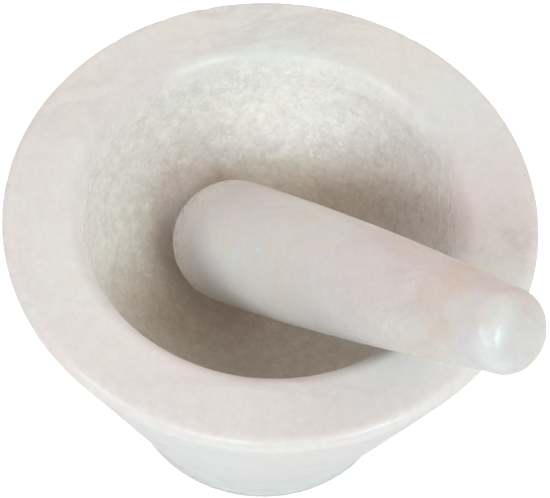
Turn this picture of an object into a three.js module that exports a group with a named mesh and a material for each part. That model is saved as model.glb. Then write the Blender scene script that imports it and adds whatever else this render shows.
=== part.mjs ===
// Marble mortar and pestle.
// Units are millimetres, +Z is up. The origin is the centre of the mortar's
// flat foot, so the mortar stands on the plane z = 0 and its axis is the Z axis.
// Two separate turned pieces: the mortar, and the pestle lying in its bowl with
// the handle over the rim, towards +X and -Y.
import * as THREE from 'three';

// ---- mortar ----
const HEIGHT = 100.9;             // foot to the top of the rim
const RIM_RADIUS = 75;            // outer radius of the rim
const RIM_OUTER_EDGE = 3.4;       // rounding of the rim's outer edge
const RIM_INNER_EDGE = 6;         // rounding where the rim turns into the bowl
const FOOT_SIDE_RADIUS = 43;      // outside of the short upright foot band
const FOOT_BAND_HEIGHT = 5.5;     // top of that band
const FOOT_EDGE = 1.4;            // rounding of the foot's lower edge
const FLARE_WIDTH = 0.9;          // short slope from the band out to the conical wall
const FLARE_HEIGHT = 1.4;
const BOWL_RADIUS = 52.3;         // just under the rounded inner edge
const BOWL_DEPTH = 62.6;          // rim plane to the lowest point of the bowl
const BOWL_ROUNDNESS = 2.15;      // exponent of the bowl's section, 2 is an ellipse
const MORTAR_SEGMENTS = 60;
const WALL_STEPS = 3;

// ---- pestle ----
const HEAD_RADIUS = 18.6;         // widest part of the grinding head
const HEAD_LENGTH = 19.4;         // from the widest part to the tip of the head
const MIDDLE_RADIUS = 16.17;      // half way along the handle
const GRIP_RADIUS = 10.76;        // where the handle meets its rounded end
const HANDLE_LENGTH = 128.7;      // widest part of the head to the rounded end
const END_LENGTH = 8.3;           // the rounded end itself
const END_ROUNDNESS = 3.4;        // exponent of the end's section
const PESTLE_SEGMENTS = 40;
const HANDLE_STEPS = 8;

// ---- where the pestle lies ----
const HEAD_BELOW_RIM = 39.31;     // rim plane down to the centre of the head
const HEAD_CENTRE = new THREE.Vector3(-10.42, 12.14, HEIGHT - HEAD_BELOW_RIM);
const PESTLE_AXIS = new THREE.Vector3(0.5207, -0.5672, 0.6381).normalize(); // head to handle end

// Angles in a section, from the outward radius towards +Z.
const DOWN = -Math.PI / 2;
const OUT = 0;
const UP = Math.PI / 2;
const IN = Math.PI;

// All section points are Vector2(radius, height).
const point = (radius, height) => new THREE.Vector2(radius, height);

// Part of a superellipse; power 2 gives a circle or an ellipse.
function arc({ centre, width, height, from, to, steps, power = 2 }) {
  const bend = (value) => Math.sign(value) * Math.abs(value) ** (2 / power);
  return Array.from({ length: steps + 1 }, (_, i) => {
    const angle = from + ((to - from) * i) / steps;
    return point(
      centre.x + width * bend(Math.cos(angle)),
      centre.y + height * bend(Math.sin(angle)),
    );
  });
}

const roundedEdge = (centre, radius, from, to, steps) =>
  arc({ centre, width: radius, height: radius, from, to, steps });

// Turns a section about Z, without its repeated points and with its ends on the axis.
function turned(points, segments) {
  const minGap = 0.02;
  const section = [];
  for (const next of points) {
    const last = section.at(-1);
    if (!last || last.distanceTo(next) >= minGap) section.push(next);
  }
  section[0].x = 0;
  section.at(-1).x = 0;
  // LatheGeometry turns about Y, so the solid is stood up.
  return new THREE.LatheGeometry(section, segments).rotateX(Math.PI / 2);
}

// From the centre of the foot, up the outside, over the rim and down the bowl.
function mortarSection() {
  const footRadius = FOOT_SIDE_RADIUS - FOOT_EDGE;
  const wallBottom = point(FOOT_SIDE_RADIUS + FLARE_WIDTH, FOOT_BAND_HEIGHT + FLARE_HEIGHT);
  const outerCentre = point(RIM_RADIUS - RIM_OUTER_EDGE, HEIGHT - RIM_OUTER_EDGE);
  const innerCentre = point(BOWL_RADIUS + RIM_INNER_EDGE, HEIGHT - RIM_INNER_EDGE);

  // The outer rounding starts at about the lean of the wall.
  const lean = Math.atan2(RIM_RADIUS - wallBottom.x, outerCentre.y - wallBottom.y);
  const outerEdge = roundedEdge(outerCentre, RIM_OUTER_EDGE, -lean, UP, 5);

  const wall = [wallBottom];
  for (let i = 1; i < WALL_STEPS; i += 1) {
    wall.push(point().lerpVectors(wallBottom, outerEdge[0], i / WALL_STEPS));
  }

  return [
    point(0, 0),
    point(footRadius * 0.5, 0),
    ...roundedEdge(point(footRadius, FOOT_EDGE), FOOT_EDGE, DOWN, OUT, 3),
    point(FOOT_SIDE_RADIUS, FOOT_BAND_HEIGHT),
    ...wall,
    ...outerEdge,
    point((outerCentre.x + innerCentre.x) / 2, HEIGHT),
    ...roundedEdge(innerCentre, RIM_INNER_EDGE, UP, IN, 6),
    ...arc({
      centre: point(0, innerCentre.y),
      width: BOWL_RADIUS,
      height: BOWL_DEPTH - RIM_INNER_EDGE,
      from: OUT,
      to: DOWN,
      steps: 14,
      power: BOWL_ROUNDNESS,
    }),
  ];
}

// Handle radius at a fraction of its length: the parabola through the three radii.
function handleRadius(along) {
  const head = 2 * (along - 0.5) * (along - 1);
  const middle = -4 * along * (along - 1);
  const grip = 2 * along * (along - 0.5);
  return HEAD_RADIUS * head + MIDDLE_RADIUS * middle + GRIP_RADIUS * grip;
}

// From the tip of the head to the handle end; height 0 is the head's widest circle.
function pestleSection() {
  const handle = [];
  for (let i = 1; i <= HANDLE_STEPS; i += 1) {
    const along = i / HANDLE_STEPS;
    handle.push(point(handleRadius(along), HANDLE_LENGTH * along));
  }
  return [
    ...arc({
      centre: point(0, 0),
      width: HEAD_RADIUS,
      height: HEAD_LENGTH,
      from: DOWN,
      to: OUT,
      steps: 9,
    }),
    ...handle,
    ...arc({
      centre: point(0, HANDLE_LENGTH),
      width: GRIP_RADIUS,
      height: END_LENGTH,
      from: OUT,
      to: UP,
      steps: 7,
      power: END_ROUNDNESS,
    }),
  ];
}

const marble = ({ color, roughness }) =>
  new THREE.MeshStandardMaterial({ color, roughness, metalness: 0 });

function makeMortar() {
  const mortar = new THREE.Mesh(
    turned(mortarSection(), MORTAR_SEGMENTS),
    marble({ color: 0xe4ded8, roughness: 0.42 }),
  );
  mortar.name = 'mortar';
  return mortar;
}

function makePestle() {
  const pestle = new THREE.Mesh(
    turned(pestleSection(), PESTLE_SEGMENTS),
    marble({ color: 0xdcd2cc, roughness: 0.38 }),
  );
  pestle.name = 'pestle';
  pestle.position.copy(HEAD_CENTRE);
  pestle.quaternion.setFromUnitVectors(new THREE.Vector3(0, 0, 1), PESTLE_AXIS);
  return pestle;
}

const model = new THREE.Group();
model.name = 'mortar_and_pestle';
model.add(makeMortar(), makePestle());

export default model;
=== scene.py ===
# Marble mortar and pestle. The mortar stands upright on z = 0, centred on the Z axis. The
# pestle's head sits in the bowl, left of centre, and its handle leans to the right (+X),
# forwards (-Y) and up.
# Scene units are metres with +Z up; sizes in the modelling sections are millimetres.
import math
import bpy
import numpy as np
from mathutils import Matrix, Vector, noise


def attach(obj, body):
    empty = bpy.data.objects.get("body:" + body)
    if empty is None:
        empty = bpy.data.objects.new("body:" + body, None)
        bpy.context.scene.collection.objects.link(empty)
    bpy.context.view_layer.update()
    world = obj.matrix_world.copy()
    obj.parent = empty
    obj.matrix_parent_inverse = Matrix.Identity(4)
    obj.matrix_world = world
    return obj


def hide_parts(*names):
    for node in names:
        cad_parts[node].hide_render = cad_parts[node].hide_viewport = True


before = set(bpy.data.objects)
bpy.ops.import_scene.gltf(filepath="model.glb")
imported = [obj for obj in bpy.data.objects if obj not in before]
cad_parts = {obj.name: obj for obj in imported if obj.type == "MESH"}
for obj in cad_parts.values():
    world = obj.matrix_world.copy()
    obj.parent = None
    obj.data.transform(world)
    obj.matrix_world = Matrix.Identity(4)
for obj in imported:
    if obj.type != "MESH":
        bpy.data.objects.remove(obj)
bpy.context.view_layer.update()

MM = 0.001

# ---------------------------------------------------------------- dimensions (mm)
HEIGHT = 100.9
RIM_R = 75.0
RIM_OUT, RIM_IN = 3.4, 6.0           # widths of the rim's outer and inner rounding
LIP = 8.6                            # depth of the inner rounding
FOOT_FLAT, FOOT_R = 41.6, 43.0
FOOT_BAND, FOOT_EDGE = 5.5, 1.4      # height of the foot's upright band, rounding below it
BAND_STEP_OUT, BAND_STEP_UP = 0.9, 1.4   # small slope from the band to the wall
BOWL_R, BOWL_DEPTH = 52.3, 62.6
BOWL_POWER = 2.15                    # superellipse power of the bowl; 2 is an ellipse

HEAD_R, HEAD_L = 18.6, 19.4
MID_R, GRIP_R = 16.17, 10.76         # handle radii half way along and at the top
HANDLE_L = 128.7
END_L, END_POWER = 8.3, 3.4          # length and superellipse power of the blunt end
HEAD_CENTRE = np.array([-10.42, 12.14, HEIGHT - 39.31])
PESTLE_AXIS = np.array([0.5207, -0.5672, 0.6381])
PESTLE_AXIS /= np.linalg.norm(PESTLE_AXIS)
TILT = Vector((0, 0, 1)).rotation_difference(Vector(PESTLE_AXIS.tolist()))


# ---------------------------------------------------------------- profiles and noise
def arc(centre_r, centre_z, radius_r, radius_z, start, end, steps, power=2.0):
    """Rows (r, z) along a superellipse between two angles."""
    angle = np.linspace(start, end, steps + 1)
    c, s = np.cos(angle), np.sin(angle)
    return np.stack([
        centre_r + radius_r * np.sign(c) * np.abs(c) ** (2 / power),
        centre_z + radius_z * np.sign(s) * np.abs(s) ** (2 / power)], -1)


def resample(rows, spacing):
    """Spaces profile rows spacing(r, z) mm apart and puts both ends on the axis."""
    distinct = np.r_[True, np.linalg.norm(np.diff(rows, axis=0), axis=1) > 1e-6]
    rows = rows[distinct]
    length = np.r_[0, np.cumsum(np.linalg.norm(np.diff(rows, axis=0), axis=1))]
    stations, at = [0.0], 0.0
    while at < length[-1]:
        r, z = (np.interp(at, length, rows[:, k]) for k in (0, 1))
        at += spacing(r, z)
        stations.append(min(at, length[-1]))
    if stations[-1] - stations[-2] < 0.2:
        stations.pop(-2)
    even = np.stack([np.interp(stations, length, rows[:, k]) for k in (0, 1)], -1)
    even[[0, -1], 0] = 0
    return even


def fbm(points, scale, octaves, seed):
    """Fractal noise, about -1 to 1; scale is the size of the largest lumps in mm."""
    offset = Vector((seed * 17.13, seed * 5.71, seed * 9.37))
    k = 1.0 / scale
    return np.array([
        noise.fractal(Vector((x * k, y * k, z * k)) + offset, 0.9, 2.1, octaves)
        for x, y, z in points])


def smoothstep(x, start, end):
    t = np.clip((x - start) / (end - start), 0, 1)
    return t * t * (3 - 2 * t)


def window(x, rise, fall):
    """Rises over the first range and falls over the second."""
    return smoothstep(x, *rise) * (1 - smoothstep(x, *fall))


def hump(x, centre, width):
    return np.exp(-((x - centre) / width) ** 2)


def add_object(name, data):
    obj = bpy.data.objects.new(name, data)
    bpy.context.scene.collection.objects.link(obj)
    return obj


def turned(name, profile, segments, shape):
    """A closed body of revolution from profile rows (r, z).

    shape(points, r, z, angle) gives, for each point, the shift along its normal in mm
    and the values of the "ground" attribute and of a darkening attribute, painted shade in the
    mortar's bowl, which the material reads.
    """
    rows = profile[1:-1]
    slope = np.gradient(profile, axis=0)[1:-1]
    normals = np.stack([slope[:, 1], -slope[:, 0]], -1)
    normals /= np.maximum(np.linalg.norm(normals, axis=1), 1e-9)[:, None]
    angle = np.arange(segments) * 2 * math.pi / segments

    def spin(pairs):
        r, z = pairs[:, :1], pairs[:, 1:]
        rings = [r * np.cos(angle), r * np.sin(angle), np.repeat(z, segments, 1)]
        return np.stack(rings, -1).reshape(-1, 3)

    def with_ends(values):
        """Appends the means of the first and last rings, for the two end points."""
        ends = [values[:segments].mean(0)], [values[-segments:].mean(0)]
        return np.concatenate([values, *ends])

    points = spin(rows)
    r, z = np.repeat(rows, segments, axis=0).T
    shift, ground, warm_darkening = shape(points, r, z, np.tile(angle, len(rows)))
    points = points + spin(normals) * shift[:, None]

    this = np.arange(segments)
    after = (this + 1) % segments
    faces = []
    for k in range(len(rows) - 1):
        low, high = k * segments, (k + 1) * segments
        faces += np.stack([low + this, low + after, high + after, high + this], -1).tolist()
    last_ring = (len(rows) - 1) * segments
    first_end = np.full(segments, len(points))
    faces += np.stack([first_end, after, this], -1).tolist()
    faces += np.stack([first_end + 1, last_ring + this, last_ring + after], -1).tolist()

    mesh = bpy.data.meshes.new(name)
    mesh.from_pydata((with_ends(points) * MM).tolist(), [], faces)
    mesh.polygons.foreach_set("use_smooth", [True] * len(mesh.polygons))
    for attribute, values in (("ground", ground), ("warm_darkening", warm_darkening)):
        layer = mesh.attributes.new(attribute, "FLOAT", "POINT")
        layer.data.foreach_set("value", with_ends(values).astype(np.float32))
    mesh.update()
    return add_object(name, mesh)


# ---------------------------------------------------------------- mortar
def mortar_profile():
    """From the middle of the foot, up the outside, over the rim and down the bowl."""
    wall_r, wall_z = FOOT_R + BAND_STEP_OUT, FOOT_BAND + BAND_STEP_UP
    lean = math.atan2(RIM_R - wall_r, HEIGHT - RIM_OUT - wall_z)
    quarter = math.pi / 2
    return np.vstack([
        [(0, 0), (FOOT_FLAT, 0)],
        arc(FOOT_R - FOOT_EDGE, FOOT_EDGE, FOOT_EDGE, FOOT_EDGE, -quarter, 0, steps=12),
        [(FOOT_R, FOOT_BAND), (wall_r, wall_z)],
        arc(RIM_R - RIM_OUT, HEIGHT - RIM_OUT, RIM_OUT, RIM_OUT, -lean, quarter, steps=24),
        arc(BOWL_R + RIM_IN, HEIGHT - LIP, RIM_IN, LIP, quarter, math.pi, steps=40),
        arc(0, HEIGHT - LIP, BOWL_R, BOWL_DEPTH - LIP, 0, -quarter, steps=300,
            power=BOWL_POWER)])


def bowl_level(r, depth):
    """About 1 or less on the bowl's surface, well above it on the outside."""
    return (r / BOWL_R) ** BOWL_POWER + (depth / BOWL_DEPTH) ** BOWL_POWER


def mortar_spacing(r, z):
    if r < 46 and z < 1.0:          # underside
        return 1.6
    if z > HEIGHT - 8.8:            # rim
        return 0.6
    if z < 9:                       # foot band
        return 0.5
    return 0.72 if bowl_level(r, HEIGHT - z) < 1.06 else 1.5


def mortar_shape(points, r, z, angle):
    depth = HEIGHT - z
    lip = (r < BOWL_R + RIM_IN) & (z > HEIGHT - LIP - 0.01)
    bowl = (bowl_level(r, np.maximum(depth, 0)) < 1.12) | lip
    # uneven line where the ground bowl meets the honed rim
    inward = (BOWL_R + RIM_IN - r) + depth
    edge = (1.2 + 0.8 * np.sin(3 * angle + 1.3) + 0.6 * np.sin(7 * angle + 0.4)
            + 0.4 * np.sin(17 * angle))
    ground = np.where(bowl, smoothstep(inward, edge + 2.0, edge + 16.0), 0.0)
    big = fbm(points, scale=55, octaves=3, seed=1)
    mid = fbm(points, scale=14, octaves=3, seed=2)
    shift = 0.16 * big + 0.05 * mid

    # the ground bowl: grain, pits, and shallow rings 2.6 mm apart
    fine = fbm(points, scale=3.0, octaves=3, seed=3)
    pits = np.clip(fbm(points, scale=2.2, octaves=2, seed=4) - 0.25, 0, 1)
    ring_phase = depth * 2 * math.pi / 2.6 + 0.9 * mid + 0.6 * np.sin(2 * angle)
    rings = np.sin(ring_phase) * (0.5 + 0.5 * big)
    shift += ground * (0.13 * fine - 0.24 * pits + 0.05 * rings)

    # the honed outside: faint turning marks 4.1 mm apart, and a rougher foot band
    outside = (z < HEIGHT - 4) & (~bowl)
    marks = 0.02 * np.sin(z * 2 * math.pi / 4.1 + 0.7 * mid)
    shift += np.where(outside & (z > 1), marks, 0)
    rough_foot = 0.12 * fbm(points, scale=6.0, octaves=3, seed=7)
    shift += np.where(outside & (z < 9) & (z > 0.4), rough_foot, 0)

    # small dings on the two edges of the rim
    rim_edges = (hump(r, centre=RIM_R - 0.9, width=1.3) * (z > HEIGHT - 5)
                 + hump(r, centre=BOWL_R + 0.9, width=1.2) * (z > HEIGHT - 4))
    chips = np.clip(fbm(points, scale=5.0, octaves=2, seed=5) - 0.42, 0, 1)
    shift -= rim_edges * chips * 0.75

    # the underside stays nearly flat
    shift = np.where(z < 0.05, 0.02 * mid - 0.02, shift)
    # painted shade: darker and warmer deeper in the bowl, from 24 mm down, where the bowl lies
    # in shade
    warm_darkening = 0.50 * smoothstep(depth, 24, 58) * (0.6 + 0.4 * mid) * ground
    # the upper limit keeps clear of the pestle where it rests on the inner edge
    return np.clip(shift, -0.6, 0.30), ground, warm_darkening


# ---------------------------------------------------------------- pestle
# Modelled upright, with the centre of the head at the origin, then tilted into place.
UPPER_SIDE = TILT.inverted() @ Vector((0.0, 0.84, 0.54))   # up and backwards in the scene
UPPER_ANGLE = math.atan2(UPPER_SIDE.y, UPPER_SIDE.x)


def pestle_profile():
    """From the bottom of the head up to the blunt end of the handle."""
    # the handle's radius is a parabola through its bottom, middle and top radii
    u = np.linspace(0.01, 1, 80)
    bottom = (u - 0.5) * (u - 1) / 0.5
    middle = u * (u - 1) / -0.25
    top = u * (u - 0.5) / 0.5
    return np.vstack([
        arc(0, 0, HEAD_R, HEAD_L, -math.pi / 2, 0, steps=60),
        np.stack([HEAD_R * bottom + MID_R * middle + GRIP_R * top, HANDLE_L * u], -1),
        arc(0, HANDLE_L, GRIP_R, END_L, 0, math.pi / 2, steps=60, power=END_POWER)[1:]])


def pestle_spacing(r, z):
    return 0.6 if z < 8 or z > 118 else 1.1


def pestle_shape(points, r, z, angle):
    big = fbm(points, scale=38, octaves=3, seed=11)
    mid = fbm(points, scale=9, octaves=3, seed=12)
    shift = 0.16 * big + 0.035 * mid
    # three hand-finished flats, slowly twisting along the handle
    flats = np.sin(3 * angle + z * 0.02 + 0.8)
    shift += 0.10 * flats * window(z, rise=(10, 60), fall=(118, 128))
    # worn grain and pits on the head
    head = 1 - smoothstep(z, -6, 10)
    pits = np.clip(fbm(points, scale=2.4, octaves=2, seed=14) - 0.3, 0, 1)
    shift += head * (0.045 * fbm(points, scale=2.6, octaves=3, seed=13) - 0.03 * pits)
    # a few bruises round the shoulder of the end
    bruises = np.clip(fbm(points, scale=5.5, octaves=2, seed=15) - 0.35, 0, 1)
    shift -= hump(z, centre=HANDLE_L + 5.5, width=3.5) * 0.5 * bruises

    # darker and warmer in a band before the end and along the upper side
    blotches = fbm(points, scale=12, octaves=3, seed=16)
    band = window(z, rise=(98, 112), fall=(122, 128)) * smoothstep(blotches, -0.35, 0.45)
    long_blotches = fbm(points * np.array([1.0, 1.0, 0.25]), scale=7, octaves=3, seed=17)
    side = (np.clip(np.cos(angle - UPPER_ANGLE), 0, 1) ** 3 * smoothstep(z, 15, 60)
            * smoothstep(long_blotches, -0.5, 0.5))
    warm_darkening = np.clip(0.55 * band + 0.55 * side, 0, 1)
    return np.clip(shift - 0.08, -0.7, 0.16), head * 0.8, warm_darkening


# ---------------------------------------------------------------- shader nodes
BLACK, WHITE = (0, 0, 0, 1), (1, 1, 1, 1)


class Nodes:
    """Adds nodes to a tree. An input is either a plain value or another node's output."""

    def __init__(self, tree):
        self.tree = tree

    def feed(self, node, inputs):
        for key, value in inputs.items():
            socket = node.inputs[key]
            if isinstance(value, bpy.types.NodeSocket):
                self.tree.links.new(value, socket)
            else:
                socket.default_value = (*value, 1) if socket.type == "RGBA" else value

    def add(self, kind, inputs=None, **settings):
        node = self.tree.nodes.new(kind)
        for key, value in settings.items():
            setattr(node, key, value)
        self.feed(node, inputs or {})
        return node

    def calc(self, operation, a, b=0.0, clamp=False):
        return self.add("ShaderNodeMath", {0: a, 1: b},
                        operation=operation, use_clamp=clamp).outputs[0]

    def times(self, a, b):
        return self.calc("MULTIPLY", a, b)

    def plus(self, a, b, clamp=False):
        return self.calc("ADD", a, b, clamp)

    def minus(self, a, b, clamp=False):
        return self.calc("SUBTRACT", a, b, clamp)

    def mix(self, factor, a, b, blend="MIX"):
        # inputs 6 and 7 are the colour versions of A and B, output 2 the colour result
        return self.add("ShaderNodeMix", {0: factor, 6: a, 7: b},
                        data_type="RGBA", blend_type=blend).outputs[2]

    def noise(self, place, scale, detail, roughness, distortion=0.0):
        return self.add("ShaderNodeTexNoise", {
            "Scale": scale, "Detail": detail, "Roughness": roughness,
            "Distortion": distortion, "Vector": place}).outputs["Fac"]

    def ramp(self, value, low, high, colours=(BLACK, WHITE)):
        node = self.add("ShaderNodeValToRGB", {"Fac": value})
        for stop, position, colour in zip(node.color_ramp.elements, (low, high), colours):
            stop.position = position
            stop.color = colour
        return node.outputs["Color"]

    def patches(self, place, low, high, **noise_settings):
        return self.ramp(self.noise(place, **noise_settings), low, high)

    def attribute(self, name):
        return self.add("ShaderNodeAttribute", attribute_name=name).outputs["Fac"]

    def is_camera_ray(self):
        return self.add("ShaderNodeLightPath").outputs["Is Camera Ray"]


# ---------------------------------------------------------------- marble
def stone_colour(n, place, vein_place, grain, ground, warm_darkening, tint, cloud, warm, streaks):
    # broad clouds and warm patches
    clouds = n.patches(place, 0.40, 0.62, scale=17, detail=4, roughness=0.55, distortion=0.4)
    base = n.mix(clouds, tint, cloud)
    warmth = n.patches(place, 0.48, 0.70, scale=24, detail=3, roughness=0.5, distortion=0.6)
    base = n.mix(n.times(warmth, 0.60), base, warm)

    # thin darker veins where the noise crosses its middle, broken into stretches
    field = n.noise(vein_place, scale=9, detail=5, roughness=0.6, distortion=1.6)
    distance = n.calc("ABSOLUTE", n.minus(field, 0.5))
    veins = n.ramp(distance, 0.0, 0.035, colours=(WHITE, BLACK))
    veins = n.times(veins, n.patches(place, 0.45, 0.65, scale=20, detail=2, roughness=0.5))
    base = n.mix(n.times(veins, 0.34), base, tuple(c * 0.72 for c in tint))

    # speckle, much stronger where the stone is ground rough
    crystals = n.times(n.minus(grain, 0.5), 1.0)
    mottle = n.noise(place, scale=260, detail=3, roughness=0.65)
    strength = n.plus(n.times(ground, 0.13), 0.060)
    speckle = n.plus(n.times(n.minus(mottle, 0.5), 2.2), n.times(crystals, 0.8))
    gain = n.plus(1.0, n.times(speckle, strength))
    base = n.mix(1.0, base, gain, "MULTIPLY")

    # warm streaks along the veins
    streak = n.patches(vein_place, 0.50, 0.66,
                       scale=30, detail=4, roughness=0.6, distortion=0.3)
    base = n.mix(n.times(streak, streaks), base, warm)

    # the ground stone is paler, with patches of near-white crystal spots, partly painted glints
    pale = n.mix(1.0, (0.83, 0.785, 0.735), gain, "MULTIPLY")
    base = n.mix(n.times(ground, 0.80), base, pale)
    # painted glints: near-white spots on some crystal cells, mostly in the ground bowl
    bright = n.ramp(grain, 0.84, 0.87)
    patchy = n.patches(place, 0.46, 0.60, scale=55, detail=2, roughness=0.5)
    amount = n.plus(n.times(ground, 0.50), 0.05)
    base = n.mix(n.times(n.times(bright, patchy), amount), base, (0.96, 0.955, 0.93))

    # darker and warmer by the second attribute: painted shade deep in the mortar's bowl; on the
    # pestle, a band before the end and the upper side
    darkened = n.mix(1.0, base, (0.93, 0.83, 0.74), "MULTIPLY")
    return n.mix(warm_darkening, base, darkened)


def stone_roughness(n, place, grain, ground, honed_rough, ground_rough):
    """Uneven on honed faces, matt where ground, with crystal faces that glint."""
    variation = n.minus(n.noise(place, scale=70, detail=4, roughness=0.6), 0.5)
    honed = n.plus(honed_rough, n.times(variation, 0.22))
    rough = n.plus(n.times(honed, n.minus(1.0, ground)), n.times(ground, ground_rough),
                   clamp=True)
    glints = n.times(n.ramp(grain, 0.80, 0.83), ground)
    return n.minus(rough, n.times(glints, 0.45), clamp=True)


def stone_bump(n, place, vein_place, ground):
    """Coarse grain where ground, and fine unevenness everywhere."""
    coarse = n.times(n.noise(place, scale=520, detail=4, roughness=0.7), ground)
    coarse = n.times(coarse, 2.0)
    fine = n.times(n.noise(place, scale=160, detail=5, roughness=0.6), 0.16)
    scratches = n.times(n.noise(vein_place, scale=60, detail=6, roughness=0.62), 0.08)
    height = n.plus(n.plus(coarse, fine), scratches)
    return n.add("ShaderNodeBump", {
        "Strength": 0.55, "Distance": 0.00045, "Height": height}).outputs["Normal"]


def marble(name, seed, vein_turn, vein_stretch, honed_rough, ground_rough, **colours):
    material = bpy.data.materials.new(name)
    material.use_nodes = True
    material.node_tree.nodes.clear()
    n = Nodes(material.node_tree)
    position = n.add("ShaderNodeTexCoord").outputs["Object"]
    place = n.add("ShaderNodeMapping", {
        "Location": (seed * 0.37, seed * 0.11, seed * 0.23),
        "Vector": position}).outputs["Vector"]
    # stretched space for veins that run along one way
    vein_place = n.add("ShaderNodeMapping", {
        "Rotation": vein_turn, "Scale": vein_stretch,
        "Vector": position}).outputs["Vector"]
    ground = n.attribute("ground")
    warm_darkening = n.attribute("warm_darkening")
    grain = n.add("ShaderNodeTexVoronoi", {"Scale": 900, "Vector": place}).outputs["Color"]
    surface = n.add("ShaderNodeBsdfPrincipled", {
        "Base Color": stone_colour(n, place, vein_place, grain, ground, warm_darkening, **colours),
        "Roughness": stone_roughness(n, place, grain, ground, honed_rough, ground_rough),
        "Normal": stone_bump(n, place, vein_place, ground),
        "IOR": 1.49,
        "Specular IOR Level": 0.42,
        "Subsurface Weight": 0.25,
        "Subsurface Radius": (1.0, 0.72, 0.52),
        "Subsurface Scale": 0.0045})
    n.add("ShaderNodeOutputMaterial", {"Surface": surface.outputs["BSDF"]})
    return material


# ---------------------------------------------------------------- build the two pieces
mortar = turned("mortar_marble", resample(mortar_profile(), mortar_spacing),
                320, mortar_shape)
pestle = turned("pestle_marble", resample(pestle_profile(), pestle_spacing),
                176, pestle_shape)
head_place = Matrix.Translation(Vector((HEAD_CENTRE * MM).tolist()))
pestle.data.transform(head_place @ TILT.to_matrix().to_4x4())
pestle.data.update()

mortar.data.materials.append(marble(
    "mortar_stone", seed=1,
    tint=(0.665, 0.595, 0.59), cloud=(0.65, 0.655, 0.635), warm=(0.685, 0.63, 0.565),
    vein_turn=(0.3, 0.5, 0.2), vein_stretch=(1.0, 1.6, 2.2),
    honed_rough=0.34, ground_rough=0.72, streaks=0.15))
pestle.data.materials.append(marble(
    "pestle_stone", seed=2,
    tint=(0.585, 0.52, 0.52), cloud=(0.585, 0.58, 0.57), warm=(0.64, 0.555, 0.475),
    vein_turn=(0.55, 0.60, -0.8), vein_stretch=(6.0, 6.0, 1.0),
    honed_rough=0.32, ground_rough=0.55, streaks=0.45))

for piece, body in ((mortar, "mortar"), (pestle, "pestle")):
    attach(piece, body)
    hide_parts(body)


# ---------------------------------------------------------------- floor (metres)
def floor_material():
    """White, and glowing only to the camera."""
    material = bpy.data.materials.new("floor_white")
    material.use_nodes = True
    n = Nodes(material.node_tree)
    n.feed(material.node_tree.nodes["Principled BSDF"], {
        "Base Color": (0.78, 0.78, 0.78),
        "Roughness": 0.8,
        "Specular IOR Level": 0.1,
        "Emission Color": (1, 1, 1),
        "Emission Strength": n.times(n.is_camera_ray(), 0.55)})
    return material


HALF = 4.0
floor_mesh = bpy.data.meshes.new("floor")
floor_mesh.from_pydata([(-HALF, -HALF, 0), (HALF, -HALF, 0), (HALF, HALF, 0), (-HALF, HALF, 0)],
                       [], [(0, 1, 2, 3)])
floor = add_object("floor", floor_mesh)
floor.location.z = -0.0004
floor_mesh.materials.append(floor_material())

# ---------------------------------------------------------------- world
# A studio that is bright behind (+Y), dim and warm in front half way up, and dark overhead.
LOW_BACK = (1.454, 1.341, 1.415)
MID_BACK = (1.307, 1.368, 1.258)
MID_FRONT = (0.344, 0.10, 0.06)
CAMERA_WALL = (0.93, 0.93, 0.93)

world = bpy.data.worlds.new("studio")
bpy.context.scene.world = world
world.use_nodes = True
n = Nodes(world.node_tree)


def world_step(value, low, high):
    return n.add("ShaderNodeMapRange", {"Value": value, "From Min": low, "From Max": high},
                 interpolation_type="SMOOTHSTEP").outputs["Result"]


def tinted(weight, colour):
    return n.add("ShaderNodeVectorMath", {0: colour, "Scale": weight},
                 operation="SCALE").outputs[0]


def colour_sum(a, b):
    return n.add("ShaderNodeVectorMath", {0: a, 1: b}, operation="ADD").outputs[0]


direction = n.add("ShaderNodeSeparateXYZ", {
    0: n.add("ShaderNodeTexCoord").outputs["Generated"]})
high = world_step(direction.outputs["Z"], 0.42, 0.58)
overhead = world_step(direction.outputs["Z"], 0.80, 0.92)
back = world_step(direction.outputs["Y"], -0.15, 0.15)
low_back = n.times(n.minus(1.0, high), back)
middle = n.times(high, n.minus(1.0, overhead))
mid_back = n.times(middle, back)
mid_front = n.times(middle, n.minus(1.0, back))
sky = colour_sum(tinted(low_back, LOW_BACK), tinted(mid_back, MID_BACK))
sky = colour_sum(sky, tinted(mid_front, MID_FRONT))
# the camera itself sees a plain pale wall instead of the uneven light
n.feed(world.node_tree.nodes["Background"], {
    "Strength": 1.0, "Color": n.mix(n.is_camera_ray(), sky, CAMERA_WALL)})

# ---------------------------------------------------------------- lights
LIGHT_TARGET = Vector((0, 0, 0.08))
LIGHT_DISTANCE = 1.4
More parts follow.
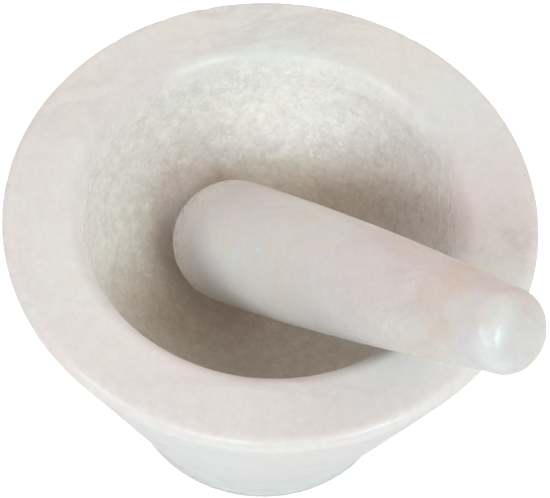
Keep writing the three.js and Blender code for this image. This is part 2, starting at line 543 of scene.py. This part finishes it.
# name, degrees from the front (-Y) towards +X, degrees above level, watts, colour
LIGHTS = [
    ("front low", -12, 22, 2.42, (1.0, 0.985, 0.72)),
    ("front", -12, 35, 5.5, (0.623, 0.818, 1.0)),
    ("left", -55, 30, 6.49, (0.884, 0.986, 1.0)),
    ("right", 40, 30, 9.57, (0.697, 0.943, 1.0)),
    ("right high", 50, 55, 2.27, (1.0, 0.863, 0.573)),
]
for name, azimuth, elevation, power, colour in LIGHTS:
    light = bpy.data.lights.new(name, "AREA")
    light.shape = "RECTANGLE"
    light.size, light.size_y = 0.5, 0.35
    light.energy = power
    light.color = colour
    lamp = add_object(name, light)
    turn, rise = math.radians(azimuth), math.radians(elevation)
    lamp.location = LIGHT_TARGET + LIGHT_DISTANCE * Vector((
        math.sin(turn) * math.cos(rise), -math.cos(turn) * math.cos(rise), math.sin(rise)))
    lamp.rotation_euler = (LIGHT_TARGET - lamp.location).to_track_quat("-Z", "Y").to_euler()

# ---------------------------------------------------------------- camera
PITCH, ROLL = math.radians(57.15), math.radians(3.78)     # pitch is downwards from level
# mm from the centre of the rim, along the camera's own axes
SHIFT_RIGHT, SHIFT_UP, DISTANCE = 0.88, -12.61, 488.8

level_right = Vector((1, 0, 0))
forward = Vector((0, math.cos(PITCH), -math.sin(PITCH)))
level_up = Vector((0, math.sin(PITCH), math.cos(PITCH)))
right = math.cos(ROLL) * level_right + math.sin(ROLL) * level_up
up = -math.sin(ROLL) * level_right + math.cos(ROLL) * level_up
rim_centre = Vector((0, 0, HEIGHT))
eye = (rim_centre + SHIFT_RIGHT * right + SHIFT_UP * up - DISTANCE * forward) * MM

camera_data = bpy.data.cameras.new("camera")
camera_data.sensor_fit = "HORIZONTAL"
camera_data.sensor_width = 36.0
camera_data.lens = 114.872727
camera_data.clip_start = 0.01
camera = add_object("camera", camera_data)
facing = Matrix((right, up, -forward)).transposed().to_4x4()
camera.matrix_world = Matrix.Translation(eye) @ facing

scene = bpy.context.scene
scene.camera = camera
scene.view_settings.view_transform = "Standard"
scene.view_settings.look = "None"
